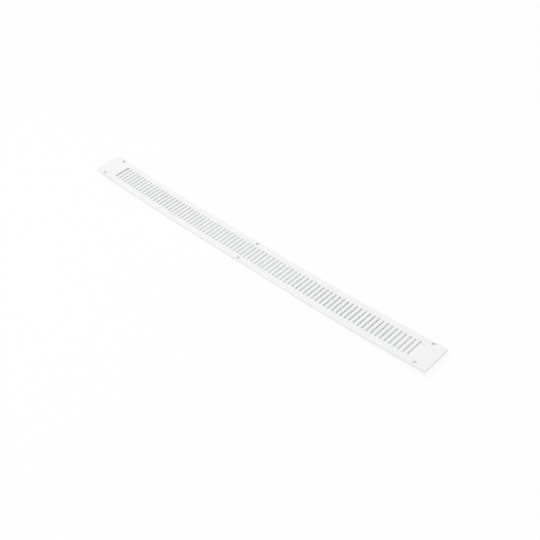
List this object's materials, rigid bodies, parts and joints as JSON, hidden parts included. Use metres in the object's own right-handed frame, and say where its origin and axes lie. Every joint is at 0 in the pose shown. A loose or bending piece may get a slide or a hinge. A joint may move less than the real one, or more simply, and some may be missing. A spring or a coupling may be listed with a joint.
{
  "type": "window vent grille",
  "caption": "Long, thin white vent grille strip with a row of crosswise air slots and plain screw holes in pairs along both edges.",
  "frame": {"origin": "under the middle of the strip, on the flat stretch of its back", "axes": "+X along the strip, +Y across it, +Z out of the front face, away from the window frame"},
  "size_m": [0.3998, 0.028, 0.0076],
  "materials": {
    "strip": "satin white"
  },
  "bodies": {
    "root": {"grille_strip": "strip"}
  },
  "joints": []
}
